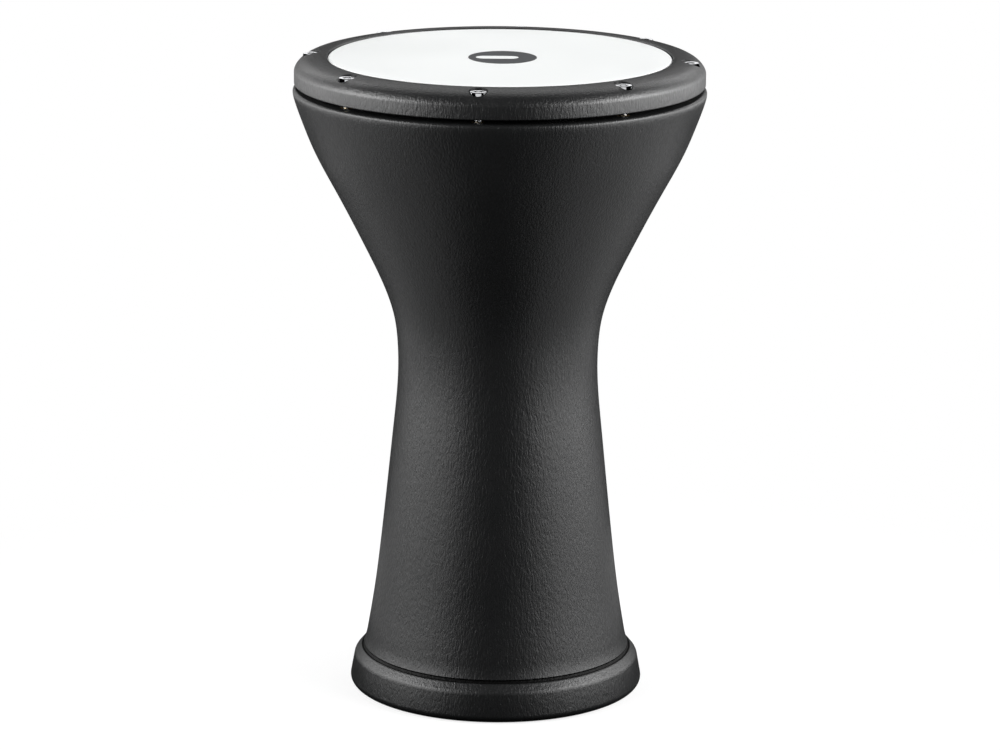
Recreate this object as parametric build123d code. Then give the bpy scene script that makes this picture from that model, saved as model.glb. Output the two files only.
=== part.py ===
"""A goblet drum (darbuka) with a screw-tuned head, as separate pieces, in millimetres.

The drum's axis is Z, its foot stands on z = 0, and its front is towards -Y.
Outlines are drawn as (radius, height) and turned once about the axis.
"""
from build123d import *
import math
import os

# ---- Driving dimensions ----
FILM_TOP = 423.5          # playing surface above the floor
FILM_THICK = 0.25
RING_OUTER_R = 134.0      # straight side wall of the tuning ring
RING_INNER_R = 112.7      # lip around the playing surface
RING_CREST_R = 115.8      # the ring's highest line
RING_CREST = 0.75         # its height above the playing surface
RING_HEIGHT = 17.1        # from the playing surface down to the ring's underside
TUNING_GAP = 2.9          # open gap between the ring and the shell's flange
SCREW_COUNT = 8
SCREW_CIRCLE_R = 124.0
FIRST_SCREW_DEG = -6.2    # from the front (-Y), positive towards +X
THREAD_R = 3.0            # M6
THREAD_PLAY = 0.03        # taken off the screw's radius and added to its insert's
SCREW_LENGTH = 25.0       # under the head

# ---- Shell ----
# Outside of the bowl, waist and trunk, from just under the rim to a little above the foot band.
SHELL_OUTSIDE = [
    (134.1, 396.9), (129.5, 383.5), (121.5, 363.6), (107.6, 336.9), (87.1, 297.0), (74.8, 270.4), (68.5, 250.3),
    (66.2, 231.0), (65.9, 217.0), (68.9, 177.0), (73.0, 137.0), (77.3, 97.0), (82.5, 57.0), (86.1, 35.5),
]
WALL = 6.7                # of the bowl and trunk, measured level
COLLAR_OUTER_R = 112.0    # upright collar that carries the bearing edge
COLLAR_INNER_R = 105.6
BEARING_ROUND = 2.0       # that the film bends over
RIM_R = 134.9             # widest line of the shell, just under the gap
RIM_ROUND = 2.2
FLANGE_DEPTH = 18.0       # solid rim that holds the inserts
TRUNK_FLARE = (0.17, -1)  # direction of the trunk's side at its lowest point above
CAVITY_FLARE = (0.5, 1)   # direction of the bowl's inside where it meets the solid rim
FOOT_CREASE = (88.5, 25.9)    # sharp inner corner where the trunk meets the foot band
FOOT_STEP = (90.1, 25.1)      # the band's top is nearly level beside the crease
FOOT_SHOULDER = (94.6, 19.8)
FOOT_EDGE_R = 98.2        # where the band's side would meet the floor
FOOT_ROUNDS = (2.0, 6.0, 4.5)   # at the step, the shoulder and the lower edge
FOOT_INNER_R = 83.0
FOOT_INNER_ROUND = 1.5

# ---- Tuning ring ----
RING_LIP = 0.4            # the lip's soft corner, up and across
CROWN = [(122.3, 0.0), (128.8, 2.3), (132.4, 5.5)]    # (radius, depth below the playing surface)
RING_WALL_TOP = 9.2       # depth where the crown has turned into the straight side wall
RING_EDGE = 0.8           # rounding of the lower outer edge
HOOP_PLAY = 0.1           # between the hoop and the ring around it

# ---- Flesh hoop: a channel that opens upwards; depths are below the playing surface ----
HOOP_INNER_R = 112.8
HOOP_OUTER_R = 117.0
HOOP_WALL = 1.0
HOOP_TOP = 5.6
HOOP_INNER_TOP = 7.7
HOOP_BOTTOM = 12.6
RESIN_TOP = 7.9
FILM_TURN = 7.0           # where the film turns outwards over the hoop's inner leg
FILM_END = 10.8
FILM_END_R = 115.1
FILM_BEND = 0.5           # inside radius of the film's tight bends
RESIN_PLAY = 0.1          # between the film's end and the resin around it

# ---- Screws, washers and inserts ----
HEAD_R = 5.5
HEAD_HEIGHT = 6.0
HEAD_TOP = 0.6            # below the playing surface: flush with the ring's crown
HEAD_CHAMFER = 0.5
SOCKET_FLATS = 5.0
SOCKET_DEPTH = 3.5
COUNTERBORE_R = 6.1
CLEARANCE_HOLE_R = 3.3
WASHER_R = 5.8
WASHER_HOLE_R = 3.2
WASHER_THICK = 1.0
WASHER_PLAY = 0.03
INSERT_R = 4.5
INSERT_LENGTH = 13.0
INSERT_GROOVES = 2
INSERT_GROOVE = 0.4       # depth of each
INSERT_GROOVE_WIDTH = 1.6
PILOT_R = 3.6
PILOT_LENGTH = 4.0        # free hole under each insert

# ---- Emblem printed on the head ----
EMBLEM_CENTRE = (1.6, -1.9)
EMBLEM_HALF_WIDTH = 22.3
EMBLEM_HALF_DEPTH = 24.4  # front to back
BAR_CENTRE_X = -3.5       # of the unprinted bar, from the emblem's centre
BAR_WIDTH = 28.0
BAR_DEPTH = 11.0
EMBLEM_THICK = 0.08

# ---- Worked out ----
RING_BASE = FILM_TOP - RING_HEIGHT
FLANGE_TOP = RING_BASE - TUNING_GAP
FILM_UNDER = FILM_TOP - FILM_THICK
HEAD_UNDER = FILM_TOP - HEAD_TOP - HEAD_HEIGHT
COUNTERBORE_FLOOR = HEAD_UNDER - WASHER_PLAY - WASHER_THICK
INSERT_BASE = FLANGE_TOP - INSERT_LENGTH
SCREW_R = THREAD_R - THREAD_PLAY
INSERT_BORE_R = THREAD_R + THREAD_PLAY


def turned(*curves):
    """The solid left by one turn of a closed outline about the drum's axis."""
    return revolve(make_face(Plane.XZ * (Curve() + list(curves))), Axis.Z)


def upright(radius, bottom, top):
    """A cylinder about Z between two heights."""
    return Pos(0, 0, bottom) * Cylinder(radius, top - bottom, align=(Align.CENTER, Align.CENTER, Align.MIN))


def tube(outer, inner, bottom, top):
    return upright(outer, bottom, top) - upright(inner, bottom - 1, top + 1)


def screw_places():
    """Each screw's number and place, going round from the front towards +X."""
    for index in range(SCREW_COUNT):
        turn = math.radians(FIRST_SCREW_DEG + index * 360 / SCREW_COUNT)
        yield index + 1, Pos(SCREW_CIRCLE_R * math.sin(turn), -SCREW_CIRCLE_R * math.cos(turn), 0)


def goblet_shell():
    """One moulding: collar with its bearing edge, flange, bowl, waist, trunk and foot band."""
    bearing_top = (COLLAR_OUTER_R - BEARING_ROUND, FILM_UNDER)
    collar_side = (COLLAR_OUTER_R, FILM_UNDER - BEARING_ROUND)
    bevel = bearing_top[0] - COLLAR_INNER_R
    collar_inside = (COLLAR_INNER_R, FILM_UNDER - bevel)
    rim_top = (RIM_R - RIM_ROUND, FLANGE_TOP)
    rim_side = (RIM_R, FLANGE_TOP - RIM_ROUND)
    foot_inner_face = (FOOT_INNER_R + FOOT_INNER_ROUND, 0)
    foot_inside = (FOOT_INNER_R, FOOT_INNER_ROUND)

    outside = Spline(rim_side, *SHELL_OUTSIDE, tangents=((0, -1), TRUNK_FLARE))
    flare = TangentArc(SHELL_OUTSIDE[-1], FOOT_CREASE, tangent=TRUNK_FLARE)
    foot = FilletPolyline(
        FOOT_CREASE, FOOT_STEP, FOOT_SHOULDER, (FOOT_EDGE_R, 0), foot_inner_face, radius=FOOT_ROUNDS
    )
    foot_inner_edge = TangentArc(foot_inner_face, foot_inside, tangent=(-1, 0))
    wall_inside = [(radius - WALL, height) for radius, height in reversed(SHELL_OUTSIDE[3:])]
    inside = Spline(foot_inside, *wall_inside, tangents=((0, 1), CAVITY_FLARE))
    cavity_top = (COLLAR_INNER_R, FLANGE_TOP - FLANGE_DEPTH)
    under_flange = Polyline(wall_inside[-1], cavity_top, collar_inside, bearing_top)
    bearing_edge = TangentArc(bearing_top, collar_side, tangent=(1, 0))
    flange = Polyline(collar_side, (COLLAR_OUTER_R, FLANGE_TOP), rim_top)
    rim = TangentArc(rim_top, rim_side, tangent=(1, 0))
    shell = turned(outside, flare, foot, foot_inner_edge, inside, under_flange, bearing_edge, flange, rim)
    for _, place in screw_places():
        shell -= place * upright(INSERT_R, INSERT_BASE, FLANGE_TOP + 1)
        shell -= place * upright(PILOT_R, INSERT_BASE - PILOT_LENGTH, INSERT_BASE + 1)
    return shell


def tuning_ring():
    """Crowned ring whose shoulder presses on the flesh hoop, with a counterbored hole for each screw."""
    lip_side = (RING_INNER_R, FILM_TOP - RING_LIP)
    lip_corner = (RING_INNER_R + RING_LIP, FILM_TOP + RING_LIP)
    crest = (RING_CREST_R, FILM_TOP + RING_CREST)
    wall_top = (RING_OUTER_R, FILM_TOP - RING_WALL_TOP)
    wall_base = (RING_OUTER_R, RING_BASE + RING_EDGE)
    underside_edge = (RING_OUTER_R - RING_EDGE, RING_BASE)
    channel_r = HOOP_OUTER_R + HOOP_PLAY
    lip = Spline(lip_side, lip_corner, crest, tangents=((0, 1), (1, 0)))
    over_crown = [(radius, FILM_TOP - depth) for radius, depth in CROWN]
    crown = Spline(crest, *over_crown, wall_top, tangents=((1, 0), (0, -1)))
    wall = Line(wall_top, wall_base)
    lower_edge = TangentArc(wall_base, underside_edge, tangent=(0, -1))
    underside = Polyline(
        underside_edge, (channel_r, RING_BASE), (channel_r, FILM_TOP - HOOP_TOP),
        (RING_INNER_R, FILM_TOP - HOOP_TOP), lip_side,
    )
    ring = turned(lip, crown, wall, lower_edge, underside)
    for _, place in screw_places():
        ring -= place * upright(COUNTERBORE_R, COUNTERBORE_FLOOR, FILM_TOP + 5)
        ring -= place * upright(CLEARANCE_HOLE_R, RING_BASE - 1, FILM_TOP)
    return ring


def head_film():
    """Clear-coated white film: flat, bent over the bearing edge, and hooked into the hoop."""
    side = COLLAR_OUTER_R + FILM_THICK
    turn = FILM_TOP - FILM_TURN
    end = FILM_TOP - FILM_END
    wide = FILM_BEND + FILM_THICK
    upper = FilletPolyline(
        (0, FILM_TOP), (side, FILM_TOP), (side, turn), (FILM_END_R, turn), (FILM_END_R, end),
        radius=[BEARING_ROUND + FILM_THICK, FILM_BEND, wide],
    )
    lower = FilletPolyline(
        (0, FILM_UNDER), (COLLAR_OUTER_R, FILM_UNDER), (COLLAR_OUTER_R, turn - FILM_THICK),
        (FILM_END_R - FILM_THICK, turn - FILM_THICK), (FILM_END_R - FILM_THICK, end),
        radius=[BEARING_ROUND, wide, FILM_BEND],
    )
    axis_side = Line((0, FILM_UNDER), (0, FILM_TOP))
    cut_end = Line((FILM_END_R, end), (FILM_END_R - FILM_THICK, end))
    return turned(upper, cut_end, lower, axis_side)


def head_hoop():
    """Flesh hoop: a channel with a short inner leg, over which the film comes in."""
    inner_leg = HOOP_INNER_R + HOOP_WALL
    outer_leg = HOOP_OUTER_R - HOOP_WALL
    floor = FILM_TOP - HOOP_BOTTOM
    return turned(
        Polyline(
            (HOOP_INNER_R, floor), (HOOP_OUTER_R, floor), (HOOP_OUTER_R, FILM_TOP - HOOP_TOP),
            (outer_leg, FILM_TOP - HOOP_TOP), (outer_leg, floor + HOOP_WALL), (inner_leg, floor + HOOP_WALL),
            (inner_leg, FILM_TOP - HOOP_INNER_TOP), (HOOP_INNER_R, FILM_TOP - HOOP_INNER_TOP), close=True,
        )
    )


def hoop_resin():
    """Cast resin that fills the channel around the film's end."""
    inner = HOOP_INNER_R + HOOP_WALL
    outer = HOOP_OUTER_R - HOOP_WALL
    floor = FILM_TOP - HOOP_BOTTOM + HOOP_WALL
    top = FILM_TOP - RESIN_TOP
    slot_inner = FILM_END_R - FILM_THICK - RESIN_PLAY
    slot_outer = FILM_END_R + RESIN_PLAY
    slot_floor = FILM_TOP - FILM_END - RESIN_PLAY
    return turned(
        Polyline(
            (inner, floor), (outer, floor), (outer, top), (slot_outer, top), (slot_outer, slot_floor),
            (slot_inner, slot_floor), (slot_inner, top), (inner, top), close=True,
        )
    )


def head_emblem():
    """Plain printed oval with one unprinted bar in it."""
    oval = Ellipse(EMBLEM_HALF_WIDTH, EMBLEM_HALF_DEPTH)
    bar = Pos(BAR_CENTRE_X, 0) * SlotOverall(BAR_WIDTH, BAR_DEPTH)
    return Pos(*EMBLEM_CENTRE, FILM_TOP) * extrude(oval - bar, EMBLEM_THICK)


def tuning_screw():
    """M6 socket-head screw; its thread is drawn as a plain shank."""
    tip = HEAD_UNDER - SCREW_LENGTH
    head = upright(HEAD_R, HEAD_UNDER, FILM_TOP - HEAD_TOP)
    head = chamfer(head.edges().group_by(Axis.Z)[-1], HEAD_CHAMFER)
    shank = upright(SCREW_R, tip, HEAD_UNDER)
    shank = chamfer(shank.edges().group_by(Axis.Z)[0], HEAD_CHAMFER)
    socket = extrude(
        Pos(0, 0, FILM_TOP - HEAD_TOP - SOCKET_DEPTH) * RegularPolygon(SOCKET_FLATS / 2, 6, major_radius=False),
        SOCKET_DEPTH + 1,
    )
    return head + shank - socket


def screw_washer():
    return tube(WASHER_R, WASHER_HOLE_R, COUNTERBORE_FLOOR, COUNTERBORE_FLOOR + WASHER_THICK)


def threaded_insert():
    """Sleeve with grooves that key it into the flange."""
    sleeve = tube(INSERT_R, INSERT_BORE_R, INSERT_BASE, FLANGE_TOP)
    half = INSERT_GROOVE_WIDTH / 2
    for groove in range(1, INSERT_GROOVES + 1):
        middle = INSERT_BASE + groove * INSERT_LENGTH / (INSERT_GROOVES + 1)
        sleeve -= tube(INSERT_R + 1, INSERT_R - INSERT_GROOVE, middle - half, middle + half)
    return sleeve


def main():
    pieces = {
        "goblet_shell": goblet_shell(),
        "tuning_ring": tuning_ring(),
        "head_film": head_film(),
        "head_hoop": head_hoop(),
        "hoop_resin": hoop_resin(),
        "head_emblem": head_emblem(),
    }
    for number, place in screw_places():
        pieces[f"tuning_screw_{number}"] = place * tuning_screw()
        pieces[f"screw_washer_{number}"] = place * screw_washer()
        pieces[f"threaded_insert_{number}"] = place * threaded_insert()
    os.makedirs("parts", exist_ok=True)
    for name, piece in pieces.items():
        export_step(piece, f"parts/{name}.step")


main()
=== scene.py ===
"""Looks of a goblet drum (darbuka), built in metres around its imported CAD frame."""
import math

import bmesh
import bpy
import numpy as np
from mathutils import Matrix, Vector


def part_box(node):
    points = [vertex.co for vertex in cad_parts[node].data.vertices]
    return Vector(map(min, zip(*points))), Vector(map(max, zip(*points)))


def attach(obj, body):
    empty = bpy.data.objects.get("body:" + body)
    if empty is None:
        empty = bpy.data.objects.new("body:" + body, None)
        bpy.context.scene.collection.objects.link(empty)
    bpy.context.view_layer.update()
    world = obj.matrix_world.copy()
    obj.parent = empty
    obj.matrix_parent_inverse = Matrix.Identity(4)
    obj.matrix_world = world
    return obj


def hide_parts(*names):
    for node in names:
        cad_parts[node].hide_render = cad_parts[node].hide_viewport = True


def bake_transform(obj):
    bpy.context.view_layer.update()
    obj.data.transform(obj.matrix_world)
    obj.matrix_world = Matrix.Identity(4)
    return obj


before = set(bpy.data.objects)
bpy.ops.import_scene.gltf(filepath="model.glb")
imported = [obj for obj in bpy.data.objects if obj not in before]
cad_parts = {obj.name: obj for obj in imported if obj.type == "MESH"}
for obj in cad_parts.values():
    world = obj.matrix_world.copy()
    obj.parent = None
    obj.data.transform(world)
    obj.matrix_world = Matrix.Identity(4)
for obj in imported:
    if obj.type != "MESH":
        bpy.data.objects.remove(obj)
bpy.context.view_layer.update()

MM = 0.001

# ---- Sizes, from the frame where it gives them ----
FILM_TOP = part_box("head_film")[1].z
FILM_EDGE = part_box("head_film")[0].z
RING_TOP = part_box("tuning_ring")[1].z
RING_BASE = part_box("tuning_ring")[0].z
RING_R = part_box("tuning_ring")[1].x
SHELL_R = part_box("goblet_shell")[1].x
HOOP_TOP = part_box("head_hoop")[1].z
HOOP_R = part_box("head_hoop")[1].x
FLANGE_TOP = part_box("threaded_insert_1")[1].z
INSERT_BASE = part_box("threaded_insert_1")[0].z
EMBLEM_LOW, EMBLEM_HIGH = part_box("head_emblem")
SCREW_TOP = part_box("tuning_screw_1")[1].z
SCREW_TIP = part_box("tuning_screw_1")[0].z
WASHER_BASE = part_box("screw_washer_1")[0].z
WASHER_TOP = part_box("screw_washer_1")[1].z
SCREWS = range(1, 9)

RING_INNER_R = 112.7 * MM
RING_CREST_R = 115.8 * MM
RING_LIP = 0.4 * MM
FILM_THICK = 0.25 * MM
COLLAR_OUTER_R = 112.0 * MM
COLLAR_INNER_R = 105.6 * MM
BEARING_ROUND = 2.0 * MM
WALL = 6.7 * MM
RIM_ROUND = 2.2 * MM
CROWN_SLOPE = 0.6         # fall for each step out, where the ring's crown turns steep
RING_EDGE = 0.8 * MM
HOOP_PLAY = 0.1 * MM      # between the hoop and the ring around it
FILM_TURN = 7.0 * MM      # below the playing surface, where the film turns outwards
FILM_END_R = 115.1 * MM
FILM_BEND = 0.5 * MM      # inside radius of the film's tight bends
FLANGE_DEPTH = 18.0 * MM
FOOT_INNER_R = 83.0 * MM
FOOT_INNER_ROUND = 1.5 * MM
INSIDE_START = 3.0 * MM   # height where the foot's inside passes into the trunk's
CAVITY_ROUND = 6.0 * MM
BEVEL_ROUND = 0.6 * MM    # under the bearing edge
COLLAR_FOOT_ROUND = 0.5 * MM
COUNTERBORE_R = 6.1 * MM
CLEARANCE_HOLE_R = 3.3 * MM
INSERT_R = 4.5 * MM
PILOT_R = 3.6 * MM
PILOT_LENGTH = 4.0 * MM
WASHER_R = 5.8 * MM
WASHER_HOLE_R = 3.2 * MM
WASHER_ROUND = 0.15 * MM
HEAD_R = 5.5 * MM
HEAD_HEIGHT = 6.0 * MM
SOCKET_FLATS = 5.0 * MM
SOCKET_DEPTH = 3.5 * MM
THREAD_R = 2.97 * MM
THREAD_PITCH = 1.0 * MM
THREAD_DEPTH = 0.55 * MM
BAR_CENTRE_X = -3.5 * MM  # of the emblem's unprinted bar, from the emblem's centre
BAR_WIDTH = 28.0 * MM
BAR_DEPTH = 11.0 * MM


def in_metres(points):
    """Points given in millimetres."""
    return [(across * MM, up * MM) for across, up in points]


# Outside of the shell as (radius, height), from the rim's side to just above the foot band.
SHELL_OUTSIDE = in_metres([
    (134.1, 396.9), (129.5, 383.5), (121.5, 363.6), (107.6, 336.9), (87.1, 297.0), (74.8, 270.4), (68.5, 250.3),
    (66.2, 231.0), (65.9, 217.0), (68.9, 177.0), (73.0, 137.0), (77.3, 97.0), (82.5, 57.0), (86.1, 35.5),
])
TRUNK_FLARE = 0.17        # outward run of the trunk's side for each step down, at its lowest point above
# A shallow groove that the CAD corner doesn't have, so that the crease stays dark.
FOOT_CREASE = in_metres([(88.3, 27.2), (87.9, 26.2), (88.9, 25.0)])
FOOT_CORNERS = in_metres([(88.9, 25.0), (90.1, 25.1), (94.6, 19.8), (98.2, 0.0)])
FOOT_ROUNDS = (2.0 * MM, 6.0 * MM, 4.5 * MM)
# The ring's crown outside its crest as (radius, depth below the playing surface), down to its side wall.
CROWN = in_metres([(122.3, 0.0), (128.8, 2.3), (132.4, 5.5)])
RING_WALL_TOP = 9.2 * MM

TURN_STEPS = 384          # facets round the drum
SHARP_DEGREES = 35.0      # corners sharper than this aren't smoothed over
THREAD_SHARP_DEGREES = 30.0
COLLECTION = bpy.context.scene.collection


# ---- Outlines ----
def smooth_curve(knots, first_slope, last_slope, step):
    """Points along the cubic spline value(x) through (x, value) knots with given end slopes."""
    x = np.array([k[0] for k in knots])
    y = np.array([k[1] for k in knots])
    gap = np.diff(x)
    rise = np.diff(y) / gap
    size = len(x)
    matrix = np.zeros((size, size))
    target = np.zeros(size)
    matrix[0, :2] = 2 * gap[0], gap[0]
    target[0] = 6 * (rise[0] - first_slope)
    matrix[-1, -2:] = gap[-1], 2 * gap[-1]
    target[-1] = 6 * (last_slope - rise[-1])
    for i in range(1, size - 1):
        matrix[i, i - 1:i + 2] = gap[i - 1], 2 * (gap[i - 1] + gap[i]), gap[i]
        target[i] = 6 * (rise[i] - rise[i - 1])
    bend = np.linalg.solve(matrix, target)
    points = []
    for i in range(size - 1):
        count = max(2, math.ceil(abs(gap[i]) / step))
        for t in np.arange(count) / count:
            a, b = (1 - t) * gap[i], t * gap[i]
            value = (bend[i] * a ** 3 + bend[i + 1] * b ** 3) / (6 * gap[i])
            from_first = (y[i] / gap[i] - bend[i] * gap[i] / 6) * a
            from_last = (y[i + 1] / gap[i] - bend[i + 1] * gap[i] / 6) * b
            value += from_first + from_last
            points.append((x[i] + b, value))
    points.append((x[-1], y[-1]))
    return points


def rounded(corners, rounds, closed=False, parts=6):
    """A polyline of (radius, height) corners with each inner corner replaced by an arc."""
    count = len(corners)
    points = []
    for i, corner in enumerate(corners):
        ends = not closed and i in (0, count - 1)
        size = 0 if ends else rounds[i % len(rounds)] if closed else rounds[i - 1]
        here = Vector(corner)
        if size == 0:
            points.append(tuple(here))
            continue
        before = (Vector(corners[i - 1]) - here).normalized()
        after = (Vector(corners[(i + 1) % count]) - here).normalized()
        half = before.angle(after) / 2
        centre = here + (before + after).normalized() * size / math.sin(half)
        start = here + before * size / math.tan(half) - centre
        end = here + after * size / math.tan(half) - centre
        sweep = start.angle_signed(end)
        for k in range(parts + 1):
            turn = -sweep * k / parts
            points.append(tuple(centre + Matrix.Rotation(turn, 2) @ start))
    return points


def bend_to(start, end, slope, parts=8):
    """Points of the parabola that leaves start with an outward slope for each step down, and meets end."""
    drop = start[1] - end[1]
    spread = end[0] - start[0] - slope * drop
    points = []
    for k in range(parts + 1):
        t = k / parts
        points.append((start[0] + slope * drop * t + spread * t * t, start[1] - drop * t))
    return points


# ---- Meshes ----
def new_object(name, mesh):
    piece = bpy.data.objects.new(name, mesh)
    COLLECTION.objects.link(piece)
    return piece


def finish_mesh(bm, name, sharp_degrees=SHARP_DEGREES):
    """Turns a bmesh into an object with outward normals, shaded smooth except at corners."""
    bmesh.ops.remove_doubles(bm, verts=bm.verts, dist=1e-7)
    bmesh.ops.recalc_face_normals(bm, faces=bm.faces)
    mesh = bpy.data.meshes.new(name)
    bm.to_mesh(mesh)
    bm.free()
    mesh.shade_smooth()
    mesh.set_sharp_from_angle(angle=math.radians(sharp_degrees))
    return new_object(name, mesh)


def bridge(bm, low, high):
    """Faces all round between two rows of points; where a row is a single point they are triangles."""
    count = len(low)
    for k in range(count):
        n = (k + 1) % count
        corners = list(dict.fromkeys([low[k], low[n], high[n], high[k]]))
        if len(corners) > 2:
            bm.faces.new(corners)


def turned(name, outline, steps=TURN_STEPS, centre=(0, 0), closed=True):
    """A mesh from an outline of (radius, height) points, turned once about an upright axis at centre."""
    bm = bmesh.new()
    rows = []
    for radius, height in outline:
        if radius < 1e-6:
            rows.append([bm.verts.new((centre[0], centre[1], height))] * steps)
            continue
        row = []
        for k in range(steps):
            turn = 2 * math.pi * k / steps
            x = centre[0] + radius * math.cos(turn)
            y = centre[1] + radius * math.sin(turn)
            row.append(bm.verts.new((x, y, height)))
        rows.append(row)
    following = rows[1:] + rows[:1] if closed else rows[1:]
    for low, high in zip(rows, following):
        bridge(bm, low, high)
    return finish_mesh(bm, name)


def cut_holes(piece, cutters):
    """Cuts the cutters out of piece for good, and removes them."""
    for cutter in cutters:
        modifier = piece.modifiers.new("cut", "BOOLEAN")
        modifier.operation = "DIFFERENCE"
        modifier.solver = "EXACT"
        modifier.object = cutter
    mesh = bpy.data.meshes.new_from_object(piece.evaluated_get(bpy.context.evaluated_depsgraph_get()))
    piece.modifiers.clear()
    piece.data = mesh
    for cutter in cutters:
        bpy.data.objects.remove(cutter)
    mesh.shade_smooth()
    mesh.set_sharp_from_angle(angle=math.radians(SHARP_DEGREES))


def screw_centre(number):
    low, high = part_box(f"tuning_screw_{number}")
    return ((low.x + high.x) / 2, (low.y + high.y) / 2)


def put(piece, body, slot, material, *nodes):
    """Gives a piece its material and body, and hides the CAD nodes that it stands for; slot is not used."""
    piece.data.materials.clear()
    piece.data.materials.append(material)
    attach(piece, body)
    if nodes:
        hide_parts(*nodes)
    return piece


# ---- Material helpers ----
class Shader:
    """A material's node tree, with short calls to add and join nodes."""

    def __init__(self, name, base, roughness, metallic=0.0):
        self.material = bpy.data.materials.new(name)
        self.material.use_nodes = True
        self.tree = self.material.node_tree
        self.surface = self.tree.nodes["Principled BSDF"]
        self.surface.inputs["Base Color"].default_value = (*base, 1)
        self.surface.inputs["Roughness"].default_value = roughness
        self.surface.inputs["Metallic"].default_value = metallic
        self.coordinates = self.add("ShaderNodeTexCoord").outputs["Object"]

    def add(self, kind, **values):
        node = self.tree.nodes.new(kind)
        for key, value in values.items():
            setattr(node, key, value)
        return node

    def join(self, source, target):
        self.tree.links.new(source, target)

    def scaled(self, vector, x, y, z):
        node = self.add("ShaderNodeMapping")
        self.join(vector, node.inputs["Vector"])
        node.inputs["Scale"].default_value = (x, y, z)
        return node.outputs["Vector"]

    def noise(self, vector, scale, detail=2.0, roughness=0.5, output="Fac"):
        node = self.add("ShaderNodeTexNoise")
        self.join(vector, node.inputs["Vector"])
        node.inputs["Scale"].default_value = scale
        node.inputs["Detail"].default_value = detail
        node.inputs["Roughness"].default_value = roughness
        return node.outputs[output]

    def cells(self, vector, scale, feature="DISTANCE_TO_EDGE"):
        node = self.add("ShaderNodeTexVoronoi", feature=feature)
        self.join(vector, node.inputs["Vector"])
        node.inputs["Scale"].default_value = scale
        return node.outputs["Distance"]

    def math(self, operation, a, b=None, c=None):
        node = self.add("ShaderNodeMath", operation=operation)
        for socket, value in zip(node.inputs, (a, b, c)):
            if value is None:
                continue
            if isinstance(value, (int, float)):
                socket.default_value = value
            else:
                self.join(value, socket)
        return node.outputs[0]

    def remap(self, value, low, high, to_low, to_high, smooth=False):
        node = self.add("ShaderNodeMapRange", interpolation_type="SMOOTHSTEP" if smooth else "LINEAR")
        self.join(value, node.inputs["Value"])
        for key, number in zip(("From Min", "From Max", "To Min", "To Max"), (low, high, to_low, to_high)):
            node.inputs[key].default_value = number
        return node.outputs["Result"]

    def warped(self, vector, by, amount):
        """The vector moved about by a colour noise."""
        centred = self.add("ShaderNodeVectorMath", operation="SUBTRACT")
        self.join(by, centred.inputs[0])
        centred.inputs[1].default_value = (0.5, 0.5, 0.5)
        scaled = self.add("ShaderNodeVectorMath", operation="SCALE")
        self.join(centred.outputs[0], scaled.inputs[0])
        scaled.inputs["Scale"].default_value = amount
        total = self.add("ShaderNodeVectorMath", operation="ADD")
        self.join(vector, total.inputs[0])
        self.join(scaled.outputs[0], total.inputs[1])
        return total.outputs[0]

    def bump(self, height, distance, strength=1.0):
        """Adds a bump on top of those already there."""
        node = self.add("ShaderNodeBump")
        node.inputs["Strength"].default_value = strength
        node.inputs["Distance"].default_value = distance
        self.join(height, node.inputs["Height"])
        normal = self.surface.inputs["Normal"]
        if normal.is_linked:
            self.join(normal.links[0].from_socket, node.inputs["Normal"])
        self.join(node.outputs["Normal"], normal)

    def roughness(self, value):
        self.join(value, self.surface.inputs["Roughness"])

    def tint(self, value, dark, light):
        """Base colour that goes from dark to light with a value from 0 to 1."""
        node = self.add("ShaderNodeMix", data_type="RGBA")
        self.join(value, node.inputs["Factor"])
        ends = {"A": dark, "B": light}
        for socket in node.inputs:
            if socket.type == "RGBA" and socket.name in ends:
                socket.default_value = (*ends[socket.name], 1)
        for socket in node.outputs:
            if socket.type == "RGBA":
                self.join(socket, self.surface.inputs["Base Color"])


# ---- Materials ----
def leather_grain(name, base, shine):
    """Satin moulding with a leather grain of wavy strands that run up the drum; shine is its specular level."""
    shader = Shader(name, base, 0.32)
    shader.surface.inputs["Specular IOR Level"].default_value = shine
    swirl = shader.noise(shader.coordinates, 160.0, 2.0, 0.5, "Color")
    bent = shader.warped(shader.coordinates, swirl, 2.2 * MM)
    upright = shader.scaled(bent, 1.0, 1.0, 0.3)
    strands = shader.noise(upright, 680.0, 2.5, 0.55)
    creases = shader.remap(shader.cells(upright, 560.0), 0.0, 0.2, 0.0, 1.0, smooth=True)
    swell = shader.noise(shader.scaled(shader.coordinates, 1.0, 1.0, 0.5), 85.0, 2.0, 0.5)
    pits = shader.remap(shader.cells(shader.coordinates, 62.0, "F1"), 0.025, 0.05, 0.0, 1.0, smooth=True)
    patches = shader.noise(shader.coordinates, 14.0, 3.0, 0.6)
    shader.bump(swell, 0.3 * MM, 0.5)
    shader.bump(creases, 0.05 * MM, 0.8)
    shader.bump(strands, 0.31 * MM, 0.8)
    shader.bump(pits, 0.12 * MM, 0.8)
    worn = shader.remap(patches, 0.3, 0.7, 0.33, 0.38)
    dull_creases = shader.remap(creases, 0.0, 1.0, 0.08, 0.0)
    shader.roughness(shader.math("ADD", worn, dull_creases))
    # Painted shade: the base colour falls to half in the grain's creases and pits, which also get bumps; the
    # patches add random tone on top.
    painted_pit_shade_and_tone = shader.math("MULTIPLY", pits, shader.remap(patches, 0.2, 0.8, 0.75, 1.0))
    depth = shader.math("MULTIPLY", creases, painted_pit_shade_and_tone)
    shader.tint(depth, [0.5 * c for c in base], base)
    return shader.material


def moulded_inside(name, base):
    """Rough inside face of the moulding, with strands showing through."""
    shader = Shader(name, base, 0.7)
    strands = shader.noise(shader.scaled(shader.coordinates, 1.0, 1.0, 0.25), 300.0, 3.0, 0.65)
    lumps = shader.noise(shader.coordinates, 60.0, 3.0, 0.5)
    shader.bump(lumps, 0.6 * MM, 0.5)
    shader.bump(strands, 0.2 * MM, 0.6)
    shader.roughness(shader.remap(strands, 0.3, 0.7, 0.6, 0.8))
    shader.tint(strands, [0.7 * c for c in base], [1.3 * c for c in base])
    return shader.material


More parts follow.
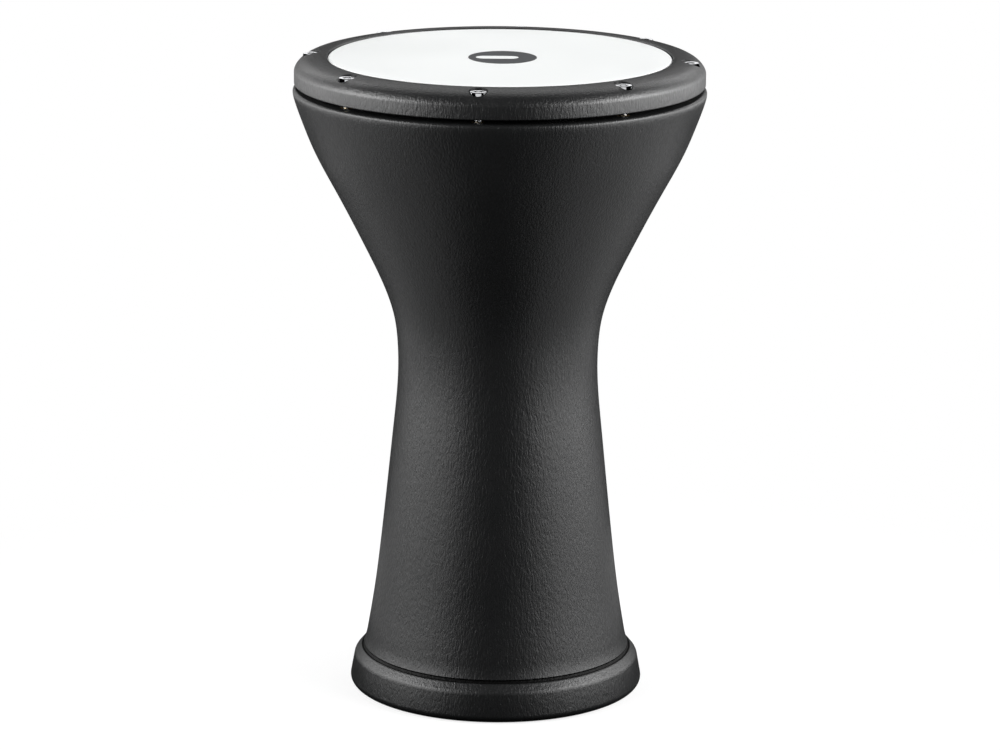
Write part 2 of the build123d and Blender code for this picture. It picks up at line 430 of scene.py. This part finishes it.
def film_white():
    """Coated white polyester film."""
    shader = Shader("film_white", (0.86, 0.875, 0.87), 0.34)
    clouds = shader.noise(shader.coordinates, 9.0, 3.0, 0.5)
    tooth = shader.noise(shader.coordinates, 2400.0, 1.0, 0.5)
    shader.bump(tooth, 0.01 * MM, 0.3)
    shader.roughness(shader.remap(clouds, 0.3, 0.7, 0.30, 0.38))
    shader.tint(clouds, (0.85, 0.868, 0.862), (0.872, 0.886, 0.882))
    return shader.material


def emblem_ink():
    shader = Shader("emblem_ink", (0.045, 0.047, 0.05), 0.42)
    speck = shader.noise(shader.coordinates, 1900.0, 2.0, 0.6)
    shader.bump(speck, 0.01 * MM, 0.3)
    shader.roughness(shader.remap(speck, 0.3, 0.7, 0.36, 0.5))
    shader.tint(speck, (0.04, 0.042, 0.045), (0.052, 0.054, 0.058))
    return shader.material


def bright_chrome():
    shader = Shader("bright_chrome", (0.80, 0.81, 0.83), 0.1, 1.0)
    smudge = shader.noise(shader.coordinates, 420.0, 3.0, 0.6)
    scratch = shader.noise(shader.scaled(shader.coordinates, 1.0, 6.0, 1.0), 2600.0, 2.0, 0.6)
    shader.bump(scratch, 0.01 * MM, 0.2)
    shader.roughness(shader.remap(smudge, 0.3, 0.7, 0.07, 0.18))
    return shader.material


def turned_metal(name, base, roughness, streaks):
    """Bare metal with machining streaks."""
    shader = Shader(name, base, roughness, 1.0)
    lines = shader.noise(shader.scaled(shader.coordinates, *streaks), 900.0, 2.0, 0.6)
    stains = shader.noise(shader.coordinates, 160.0, 3.0, 0.6)
    shader.bump(lines, 0.02 * MM, 0.4)
    polish = shader.remap(lines, 0.3, 0.7, -0.05, 0.08)
    dulling = shader.remap(stains, 0.3, 0.7, roughness, roughness + 0.12)
    shader.roughness(shader.math("ADD", polish, dulling))
    shader.tint(stains, [0.85 * c for c in base], base)
    return shader.material


def cast_resin():
    shader = Shader("cast_resin", (0.5, 0.42, 0.28), 0.35)
    clouds = shader.noise(shader.coordinates, 250.0, 3.0, 0.6)
    shader.bump(clouds, 0.1 * MM, 0.5)
    shader.roughness(shader.remap(clouds, 0.3, 0.7, 0.28, 0.45))
    shader.tint(clouds, (0.42, 0.34, 0.21), (0.56, 0.48, 0.33))
    return shader.material


# ---- The drum's pieces ----
def make_shell():
    """The one-piece shell: its grained skin, its inside and painted shade on the crease above the foot band, a
    near-black copy of its leather.
    """
    knots = [(FLANGE_TOP - RIM_ROUND, SHELL_R)] + [(height, radius) for radius, height in SHELL_OUTSIDE]
    going_up = smooth_curve(knots[::-1], -TRUNK_FLARE, 0.0, 2.0 * MM)
    side = [(radius, height) for height, radius in reversed(going_up)]
    flare = bend_to(SHELL_OUTSIDE[-1], FOOT_CREASE[0], TRUNK_FLARE) + FOOT_CREASE[1:]
    foot_corners = [*FOOT_CORNERS, (FOOT_INNER_R, 0), (FOOT_INNER_R, INSIDE_START)]
    foot = rounded(foot_corners, (*FOOT_ROUNDS, FOOT_INNER_ROUND), parts=10)
    inside_knots = [(INSIDE_START, FOOT_INNER_R)] + [(h, r - WALL) for r, h in reversed(SHELL_OUTSIDE[3:])]
    inside = [(radius, height) for height, radius in smooth_curve(inside_knots, 0.0, 0.5, 3.0 * MM)]
    film_under = FILM_TOP - FILM_THICK
    bearing_r = COLLAR_OUTER_R - BEARING_ROUND
    top = rounded(
        [
            inside[-1], (COLLAR_INNER_R, FLANGE_TOP - FLANGE_DEPTH),
            (COLLAR_INNER_R, film_under - bearing_r + COLLAR_INNER_R), (bearing_r, film_under),
            (COLLAR_OUTER_R, film_under), (COLLAR_OUTER_R, FLANGE_TOP), (SHELL_R, FLANGE_TOP), side[0],
        ],
        (CAVITY_ROUND, BEVEL_ROUND, 0, BEARING_ROUND, COLLAR_FOOT_ROUND, RIM_ROUND), parts=8,
    )
    shell = turned("shell_skin", side + flare[1:] + foot[1:] + inside[1:] + top[1:-1])
    cutters = []
    for number in SCREWS:
        bottom = INSERT_BASE - PILOT_LENGTH
        mouth = FLANGE_TOP + MM
        hole = [(0, bottom), (PILOT_R, bottom), (PILOT_R, INSERT_BASE), (INSERT_R, INSERT_BASE),
                (INSERT_R, mouth), (0, mouth)]
        cutters.append(turned(f"cutter_{number}", hole, 48, screw_centre(number)))
    cut_holes(shell, cutters)
    grain = leather_grain("shell_leather", (0.0078, 0.0082, 0.0086), 0.42)
    put(shell, "shell", "shell_grain", grain, "goblet_shell")
    shell.data.materials.append(moulded_inside("shell_inside", (0.035, 0.035, 0.036)))
    # Painted shade: a near-black leather with almost no reflection, put on the foot crease's faces to keep the
    # crease dark.
    shell.data.materials.append(leather_grain("crease_painted_shade", (0.003, 0.003, 0.003), 0.05))
    mark_shell_faces(shell.data)
    return shell


def mark_shell_faces(mesh):
    """Gives the foot crease's faces the third material, a painted shade, and those that look in at the air
    column the second.
    """
    crease_low = FOOT_CREASE[2][1] - 0.1 * MM
    widest_inside = 118 * MM
    lowest_inside = 4 * MM
    for face in mesh.polygons:
        radius = math.hypot(face.center.x, face.center.y)
        if radius > FOOT_CREASE[1][0] and crease_low < face.center.z < FOOT_CREASE[0][1]:
            face.material_index = 2
        facing_in = face.normal.x * face.center.x + face.normal.y * face.center.y < -0.3 * radius
        if facing_in and face.center.z > lowest_inside and radius < widest_inside:
            face.material_index = 1


def make_ring():
    """The crowned tuning ring, with a counterbored hole for each screw."""
    across = RING_CREST_R - RING_INNER_R
    rise = RING_TOP - FILM_TOP + RING_LIP
    step = 0.5 * MM
    lip = [(RING_INNER_R, HOOP_TOP)]
    for turn in np.linspace(0, math.pi / 2, 9):
        lip.append((RING_CREST_R - across * math.cos(turn), RING_TOP - rise * (1 - math.sin(turn))))
    over_crown = [(radius, FILM_TOP - depth) for radius, depth in CROWN]
    down_crown = [(height, radius) for radius, height in over_crown[1:]]
    crown = smooth_curve([(RING_CREST_R, RING_TOP), *over_crown[:2]], 0.0, -CROWN_SLOPE, step)
    steep = smooth_curve([*down_crown, (FILM_TOP - RING_WALL_TOP, RING_R)], -1 / CROWN_SLOPE, 0.0, step)
    crown += [(radius, height) for height, radius in steep[1:]]
    shoulder = rounded([crown[-1], (RING_R, RING_BASE), (HOOP_R, RING_BASE)], (RING_EDGE,), parts=10)
    channel = [(HOOP_R + HOOP_PLAY, RING_BASE), (HOOP_R + HOOP_PLAY, HOOP_TOP)]
    ring = turned("ring_skin", lip[1:] + crown[1:] + shoulder[1:-1] + channel + lip[:1])
    cutters = []
    for number in SCREWS:
        bottom = RING_BASE - MM
        mouth = FILM_TOP + 4 * MM
        hole = [(0, bottom), (CLEARANCE_HOLE_R, bottom), (CLEARANCE_HOLE_R, WASHER_BASE),
                (COUNTERBORE_R, WASHER_BASE), (COUNTERBORE_R, mouth), (0, mouth)]
        cutters.append(turned(f"cutter_{number}", hole, 64, screw_centre(number)))
    cut_holes(ring, cutters)
    grain = leather_grain("ring_leather", (0.0082, 0.0085, 0.009), 0.58)
    return put(ring, "ring", "ring_grain", grain, "tuning_ring")


def make_film(white):
    """The film: flat, over the bearing edge and down into the hoop."""
    side = COLLAR_OUTER_R + FILM_THICK
    under = FILM_TOP - FILM_THICK
    turn = FILM_TOP - FILM_TURN
    wide = FILM_BEND + FILM_THICK
    spokes = [share * side for share in (0, 0.1, 0.2, 0.35, 0.5, 0.65, 0.8, 0.9)]
    upper = rounded(
        [(spokes[-1], FILM_TOP), (side, FILM_TOP), (side, turn), (FILM_END_R, turn), (FILM_END_R, FILM_EDGE)],
        (BEARING_ROUND + FILM_THICK, FILM_BEND, wide),
    )
    lower = rounded(
        [
            (FILM_END_R - FILM_THICK, FILM_EDGE), (FILM_END_R - FILM_THICK, turn - FILM_THICK),
            (COLLAR_OUTER_R, turn - FILM_THICK), (COLLAR_OUTER_R, under), (spokes[-1], under),
        ],
        (FILM_BEND, wide, BEARING_ROUND),
    )
    flat_top = [(radius, FILM_TOP) for radius in spokes]
    flat_under = [(radius, under) for radius in reversed(spokes[:-1])]
    film = turned("film_skin", flat_top + upper[1:] + lower + flat_under, closed=False)
    film.data.materials.append(white)
    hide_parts("head_film")
    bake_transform(film)
    return film


def make_emblem(ink, steps=192):
    """A plain printed oval with one unprinted bar: no lettering."""
    centre = (EMBLEM_LOW + EMBLEM_HIGH) / 2
    half = (EMBLEM_HIGH - EMBLEM_LOW) / 2
    bar_round = BAR_DEPTH / 2
    bar_side = (BAR_WIDTH - BAR_DEPTH) / 2
    clear_of_film = 0.01 * MM
    bm = bmesh.new()
    loops = []
    for height in (FILM_TOP + clear_of_film, EMBLEM_HIGH.z):
        oval, bar = [], []
        for k in range(steps):
            turn = 2 * math.pi * (k + 0.5) / steps
            across, along = math.cos(turn), math.sin(turn)
            oval.append(bm.verts.new((centre.x + half.x * across, centre.y + half.y * along, height)))
            bar_x = centre.x + BAR_CENTRE_X + math.copysign(bar_side, across) + bar_round * across
            bar.append(bm.verts.new((bar_x, centre.y + bar_round * along, height)))
        loops += [oval, bar]
    under_oval, under_bar, top_oval, top_bar = loops
    bridge(bm, under_oval, under_bar)
    bridge(bm, under_oval, top_oval)
    bridge(bm, top_oval, top_bar)
    bridge(bm, under_bar, top_bar)
    put(finish_mesh(bm, "emblem_print"), "shell", "emblem_ink", ink, "head_emblem")


def add_thread(bm, x, y, start, root, steps):
    """A real helical thread from start down to just above the screw's tip."""
    turns = int((start - SCREW_TIP - 1.2 * MM) / THREAD_PITCH)
    sink = 0.02 * MM      # keeps the thread's edges inside the core
    # (share of the pitch, radius) across one turn of the thread
    profile = ((0.0, root), (0.12, root), (0.44, THREAD_R), (0.56, THREAD_R), (0.88, root))
    previous = None
    for step in range(turns * steps + 1):
        angle = 2 * math.pi * step / steps
        height = start - THREAD_PITCH * step / steps
        taper = min(1.0, step / steps, (turns * steps - step) / steps)
        line = []
        for along, radius in profile:
            reach = root - sink + (radius - root) * taper
            point = (x + reach * math.cos(angle), y + reach * math.sin(angle), height - along * THREAD_PITCH)
            line.append(bm.verts.new(point))
        if previous:
            for a in range(len(line) - 1):
                bm.faces.new([previous[a], line[a], line[a + 1], previous[a + 1]])
        previous = line


def screw_mesh(number, steps=48):
    """Socket head with a real hex socket, and a shank with a thread."""
    x, y = screw_centre(number)
    under = SCREW_TOP - HEAD_HEIGHT
    socket_floor = SCREW_TOP - SOCKET_DEPTH
    socket_rim_r = SOCKET_FLATS / 2 + 0.75 * MM
    root = THREAD_R - THREAD_DEPTH
    neck_end = under - 1.6 * MM
    bm = bmesh.new()

    def loop_of(radius_at, height):
        loop = []
        for k in range(steps):
            turn = 2 * math.pi * k / steps
            radius = radius_at(k)
            loop.append(bm.verts.new((x + radius * math.cos(turn), y + radius * math.sin(turn), height)))
        return loop

    def circle(radius, height):
        return loop_of(lambda k: radius, height)

    def hexagon(flats, height):
        def radius_at(k):
            turn = (2 * math.pi * k / steps) % (math.pi / 3) - math.pi / 6
            return flats / 2 / math.cos(turn)
        return loop_of(radius_at, height)

    rows = [
        hexagon(0.35 * SOCKET_FLATS, socket_floor - 0.5 * MM),
        hexagon(SOCKET_FLATS, socket_floor),
        hexagon(SOCKET_FLATS, SCREW_TOP - 0.35 * MM),
        hexagon(SOCKET_FLATS + 0.25 * MM, SCREW_TOP - 0.12 * MM),
        circle(socket_rim_r, SCREW_TOP),
    ]
    head_corners = [
        (socket_rim_r, SCREW_TOP), (HEAD_R, SCREW_TOP), (HEAD_R, under),
        (THREAD_R, under), (THREAD_R, under - MM),
    ]
    head = rounded(head_corners, (0.7 * MM, 0.25 * MM, 0.2 * MM))
    rows += [circle(radius, height) for radius, height in head[1:]]
    rows.append(circle(root, neck_end))
    rows.append(circle(root, SCREW_TIP + 0.9 * MM))
    rows.append(circle(root - 0.7 * MM, SCREW_TIP))
    for low, high in zip(rows, rows[1:]):
        bridge(bm, low, high)
    bm.faces.new(rows[0])
    bm.faces.new(rows[-1])
    add_thread(bm, x, y, neck_end, root, steps)
    return finish_mesh(bm, f"screw_{number}_body", THREAD_SHARP_DEGREES)


def make_screws(chrome, steel):
    """Every screw and its washer; returns them all."""
    outline = [
        (WASHER_HOLE_R, WASHER_BASE), (WASHER_R, WASHER_BASE),
        (WASHER_R, WASHER_TOP), (WASHER_HOLE_R, WASHER_TOP),
    ]
    outline = rounded(outline, (WASHER_ROUND,), closed=True, parts=3)
    made = []
    for number in SCREWS:
        screw = screw_mesh(number)
        made.append(put(screw, f"screw_{number}", "screw_chrome", chrome, f"tuning_screw_{number}"))
        washer = turned(f"washer_{number}", outline, 48, screw_centre(number))
        made.append(put(washer, "ring", "washer_steel", steel, f"screw_washer_{number}"))
    return made


def dress_cad_nodes():
    """Better materials on the CAD nodes that stay as they are."""
    hoop = turned_metal("hoop_aluminium", (0.72, 0.73, 0.74), 0.3, (0.3, 0.3, 4.0))
    brass = turned_metal("insert_brass", (0.75, 0.56, 0.27), 0.28, (0.5, 0.5, 5.0))
    resin = cast_resin()
    dressed = {"head_hoop": hoop, "hoop_resin": resin}
    for number in SCREWS:
        dressed[f"threaded_insert_{number}"] = brass
    for node, material in dressed.items():
        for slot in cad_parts[node].material_slots:
            slot.material = material


# ---- Studio ----
BOX_DISTANCE = 1.2
SIDES = ((-1, "left", 0.95), (1, "right", 1.1))      # sign of the azimuth, name, share of the radiance
# Soft boxes of one side: name, azimuth from the front, height of the middle, width, height, radiance.
SIDE_BOXES = [
    ("main_low", 80, 0.42, 1.0, 0.44, 4.5),
    ("main_high", 80, 0.97, 1.0, 0.66, 10.5),
    ("front", 48, 0.5, 0.36, 0.7, 4.6),
    ("front_high", 48, 1.0, 0.36, 0.3, 6.1),
    ("back", 118, 0.5, 0.6, 0.7, 3.3),
    ("rear", 145, 0.5, 0.5, 0.7, 0.8),
    ("rear_high", 145, 1.1, 0.5, 0.5, 3.1),
    ("foot_strip", 85, 0.06, 1.3, 0.1, 5.0),
]
# Light that comes up off the table: name, distance of the middle, width outwards, depth, radiance.
BOUNCES = [("bounce_near", 0.305, 0.29, 0.7, 0.5), ("bounce_far", 0.675, 0.45, 1.2, 0.8)]
BOUNCE_HEIGHT = 0.01
# The box over the back of the head, which is aimed at the film.
TOP_DISTANCE = 0.7
TOP_SIZE = 1.1
TOP_HEIGHT = 1.3
TOP_RADIANCE = 1.02
FLOOR_RINGS = (0, 0.2, 0.5, 1.5, 4.0)
FLOOR_DROP = 0.02 * MM    # of the paper below the foot
# Cards that only the screws reflect: name, azimuth, height of the middle, width, height, radiance.
SCREW_CARDS = [("screw_back_card", 180, 0.85, 2.0, 0.7, 1.1), ("screw_front_card", 0, 0.5, 1.6, 0.5, 0.8)]


def make_camera():
    """Long lens, a little above the playing surface, looking down at the drum's front."""
    distance = 2.811
    above_film = 0.4836
    pitch = math.radians(13.92)
    roll = math.radians(0.43)
    yaw = math.radians(0.03)
    ahead = Vector((math.sin(yaw) * math.cos(pitch), math.cos(yaw) * math.cos(pitch), -math.sin(pitch)))
    level = Vector((math.cos(yaw), -math.sin(yaw), 0))
    up = level.cross(ahead)
    right = math.cos(roll) * level + math.sin(roll) * up
    top = math.cos(roll) * up - math.sin(roll) * level
    data = bpy.data.cameras.new("camera")
    data.sensor_width = 36.0
    data.lens = 157.53
    camera = bpy.data.objects.new("camera", data)
    COLLECTION.objects.link(camera)
    turn = Matrix((right, top, -ahead)).transposed().to_4x4()
    camera.matrix_world = Matrix.Translation((0, -distance, FILM_TOP + above_film)) @ turn
    bpy.context.scene.camera = camera


def soft_box(name, azimuth, distance, width, height, middle, radiance):
    """A flat panel that faces the drum; azimuth 0 is the front, 90 the right."""
    turn = math.radians(azimuth)
    data = bpy.data.lights.new(name, "AREA")
    data.shape = "RECTANGLE"
    data.size = width
    data.size_y = height
    data.energy = radiance * math.pi * width * height
    lamp = bpy.data.objects.new(name, data)
    lamp.visible_camera = False
    COLLECTION.objects.link(lamp)
    lamp.location = (distance * math.sin(turn), -distance * math.cos(turn), middle)
    target = Vector((0, 0, middle))
    lamp.rotation_euler = (target - lamp.location).to_track_quat("-Z", "Y").to_euler()
    return lamp


def floor_paper():
    """White paper that keeps the drum's soft shadow and fades into the white all round."""
    shader = Shader("floor_paper", (0.9, 0.9, 0.9), 0.85)
    fibre = shader.noise(shader.coordinates, 40.0, 4.0, 0.6)
    shader.tint(fibre, (0.89, 0.89, 0.89), (0.91, 0.91, 0.91))
    length = shader.add("ShaderNodeVectorMath", operation="LENGTH")
    shader.join(shader.coordinates, length.inputs[0])
    glow = shader.add("ShaderNodeEmission")
    mix = shader.add("ShaderNodeMixShader")
    shader.join(shader.remap(length.outputs["Value"], 0.1, 0.5, 0.72, 1.0, smooth=True), mix.inputs["Fac"])
    shader.join(shader.surface.outputs["BSDF"], mix.inputs[1])
    shader.join(glow.outputs["Emission"], mix.inputs[2])
    shader.join(mix.outputs["Shader"], shader.tree.nodes["Material Output"].inputs["Surface"])
    return shader.material


def make_studio(screws):
    """White all round for the camera alone, soft boxes for the drum, and cards for the screws alone."""
    screws_only = bpy.data.collections.new("screws_only")
    no_screws = bpy.data.collections.new("no_screws")
    for piece in screws:
        screws_only.objects.link(piece)
        no_screws.objects.link(piece)
    for entry in no_screws.collection_objects:
        entry.light_linking.link_state = "EXCLUDE"
    floor = turned("floor", [(radius, -FLOOR_DROP) for radius in FLOOR_RINGS], 96, closed=False)
    floor.data.materials.append(floor_paper())
    floor.visible_diffuse = False
    floor.visible_glossy = False
    world = bpy.data.worlds.new("studio")
    world.use_nodes = True
    world.node_tree.nodes["Background"].inputs["Color"].default_value = (1, 1, 1, 1)
    bpy.context.scene.world = world
    world.cycles_visibility.diffuse = False
    world.cycles_visibility.glossy = False
    bpy.context.scene.view_settings.view_transform = "Standard"
    for side, name, share in SIDES:
        for part, azimuth, middle, width, height, radiance in SIDE_BOXES:
            turn = side * azimuth
            lamp = soft_box(f"{name}_{part}", turn, BOX_DISTANCE, width, height, middle, share * radiance)
            lamp.light_linking.receiver_collection = no_screws
        for part, reach, width, depth, radiance in BOUNCES:
            bounce = soft_box(f"{name}_{part}", side * 90, reach, width, depth, BOUNCE_HEIGHT, share * radiance)
            bounce.rotation_euler = (math.pi, 0, 0)
    for name, azimuth, middle, width, height, radiance in SCREW_CARDS:
        card = soft_box(name, azimuth, BOX_DISTANCE, width, height, middle, radiance)
        card.light_linking.receiver_collection = screws_only
    top = soft_box("top_box", 180, TOP_DISTANCE, TOP_SIZE, TOP_SIZE, TOP_HEIGHT, TOP_RADIANCE)
    top.rotation_euler = (Vector((0, 0, FILM_TOP)) - top.location).to_track_quat("-Z", "Y").to_euler()


make_camera()
make_shell()
make_ring()
make_film(film_white())
make_emblem(emblem_ink())
chrome = bright_chrome()
washer_zinc = turned_metal("washer_zinc", (0.6, 0.61, 0.62), 0.32, (1.0, 1.0, 1.0))
screws = make_screws(chrome, washer_zinc)
dress_cad_nodes()
make_studio(screws)
